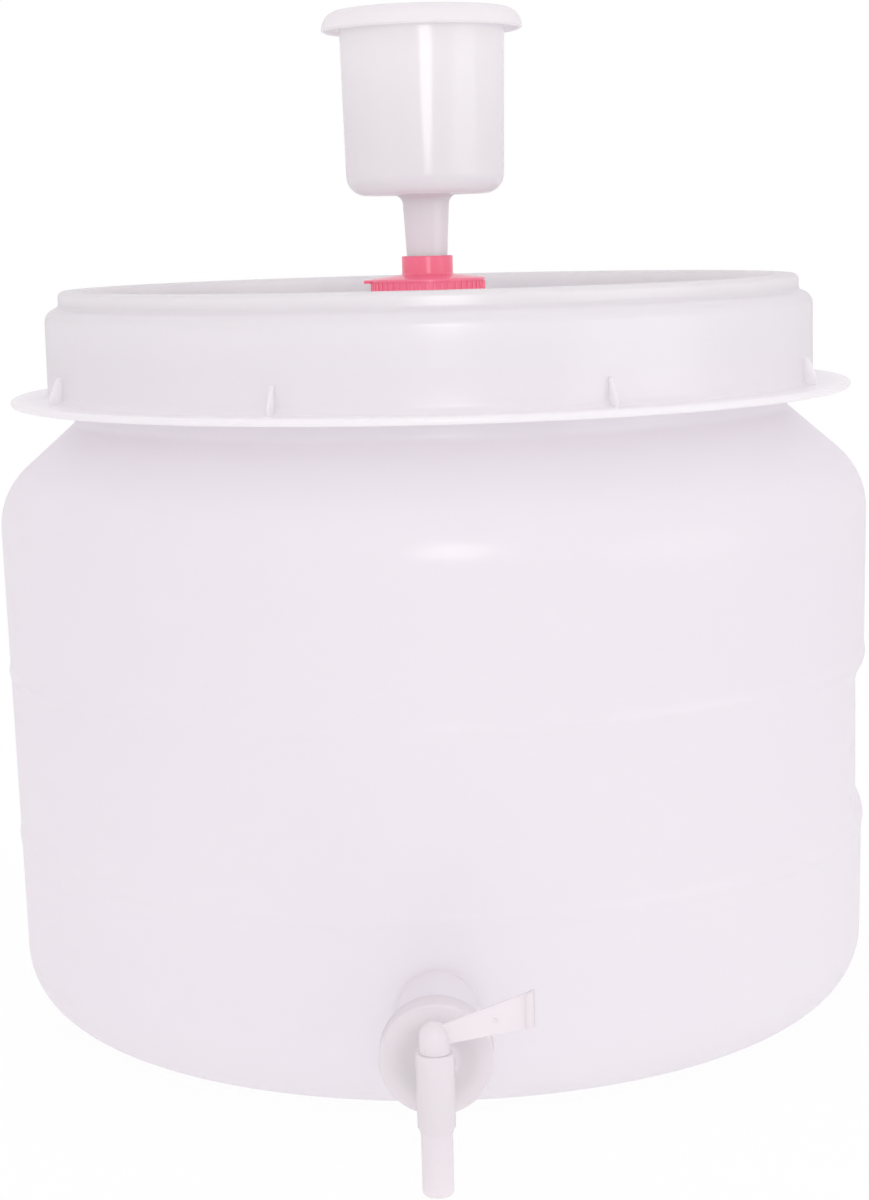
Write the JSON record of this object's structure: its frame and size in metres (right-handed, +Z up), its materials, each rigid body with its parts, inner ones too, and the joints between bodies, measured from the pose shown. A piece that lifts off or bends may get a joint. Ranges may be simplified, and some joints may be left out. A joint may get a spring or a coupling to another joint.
{
  "type": "fermentation drum with airlock and tap",
  "caption": "Wide-mouth translucent plastic fermentation drum with a screw lid, a red screw cap holding a cup airlock, and a lever tap near the base.",
  "frame": {"origin": "centre of the drum's flat base, on the drum's axis", "axes": "+Z up along the drum's axis; the tap and the pictured front face -Y; +X is to the viewer's right"},
  "size_m": [0.37, 0.4571, 0.4207],
  "materials": {
    "drum_plastic": "satin translucent polyethylene",
    "lid_plastic": "satin translucent polyethylene",
    "airlock_plastic": "glossy translucent polypropylene",
    "tap_plastic": "glossy polypropylene",
    "cap_red": "glossy red polypropylene",
    "seal_rubber": "pale soft rubber"
  },
  "bodies": {
    "drum": {"drum": "drum_plastic", "tap_body": "tap_plastic", "tap_washer": "seal_rubber"},
    "tap_plug": {"tap_plug": "tap_plastic", "plug_o_rings": "seal_rubber"},
    "lid_seal": {"lid_seal": "seal_rubber"},
    "lid": {"lid": "lid_plastic"},
    "cap_seal": {"cap_seal": "seal_rubber"},
    "screw_cap": {"screw_cap": "cap_red", "stem_seal": "seal_rubber"},
    "airlock_cup": {"airlock_cup": "airlock_plastic"},
    "airlock_bell": {"airlock_bell": "airlock_plastic"}
  },
  "joints": [
    {"name": "tap_turn", "type": "hinge", "parent": "drum", "child": "tap_plug", "pos_m": [0, -0.261, 0.044], "axis": [0, 0, 1], "range_deg": [-75, 15]},
    {"name": "lid_lift", "type": "slide", "parent": "drum", "child": "lid_seal", "axis": [0, 0, 1], "range_m": [0, 0.09]},
    {"name": "lid_turn", "type": "hinge", "parent": "lid_seal", "child": "lid", "pos_m": [0, 0, 0.26], "axis": [0, 0, 1], "continuous": true},
    {"name": "cap_lift", "type": "slide", "parent": "lid", "child": "cap_seal", "axis": [0, 0, 1], "range_m": [0, 0.04]},
    {"name": "cap_turn", "type": "hinge", "parent": "cap_seal", "child": "screw_cap", "pos_m": [0, 0, 0.3], "axis": [0, 0, 1], "continuous": true},
    {"name": "airlock_pull", "type": "slide", "parent": "screw_cap", "child": "airlock_cup", "axis": [0, 0, 1], "range_m": [0, 0.03]},
    {"name": "bell_rise", "type": "slide", "parent": "airlock_cup", "child": "airlock_bell", "axis": [0, 0, 1], "range_m": [0, 0.06]}
  ]
}
